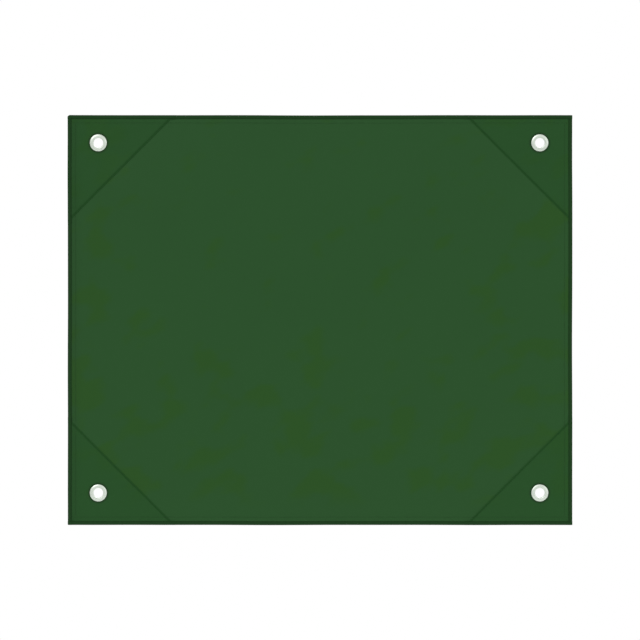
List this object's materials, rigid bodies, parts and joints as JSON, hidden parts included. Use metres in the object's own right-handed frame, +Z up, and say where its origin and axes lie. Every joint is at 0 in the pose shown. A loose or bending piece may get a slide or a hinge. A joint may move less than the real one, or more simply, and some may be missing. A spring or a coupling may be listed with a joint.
{
  "type": "eyeleted tarpaulin panel",
  "caption": "Flat rectangular coated-cloth panel with hemmed and bound edges, a sewn patch across each corner and a metal eyelet in each corner for lacing or hanging.",
  "frame": {"origin": "middle of the finished outline, halfway through the main cloth", "axes": "+X to the right along the width, +Z up the height, the front face looks towards -Y"},
  "size_m": [0.8, 0.0047, 0.65],
  "materials": {
    "coated_cloth": "dark green coated woven cloth, low sheen",
    "binding_tape": "ribbed woven tape, matt, a darker green",
    "thread": "twisted polyester thread, dark green",
    "eyelet_metal": "pale satin metal, pressed and rolled"
  },
  "bodies": {
    "root": {"main_panel": "coated_cloth", "corner_patch_top_left": "coated_cloth", "corner_patch_top_right": "coated_cloth", "corner_patch_bottom_left": "coated_cloth", "corner_patch_bottom_right": "coated_cloth", "binding_top": "binding_tape", "binding_right": "binding_tape", "binding_bottom": "binding_tape", "binding_left": "binding_tape", "eyelet_top_left": "eyelet_metal", "eyelet_top_right": "eyelet_metal", "eyelet_bottom_left": "eyelet_metal", "eyelet_bottom_right": "eyelet_metal", "eyelet_washer_top_left": "eyelet_metal", "eyelet_washer_top_right": "eyelet_metal", "eyelet_washer_bottom_left": "eyelet_metal", "eyelet_washer_bottom_right": "eyelet_metal", "patch_seam_top_left": "thread", "patch_seam_top_right": "thread", "patch_seam_bottom_left": "thread", "patch_seam_bottom_right": "thread", "hem_seam_top": "thread", "hem_seam_right": "thread", "hem_seam_bottom": "thread", "hem_seam_left": "thread", "binding_seam_top": "thread", "binding_seam_right": "thread", "binding_seam_bottom": "thread", "binding_seam_left": "thread"}
  },
  "joints": []
}
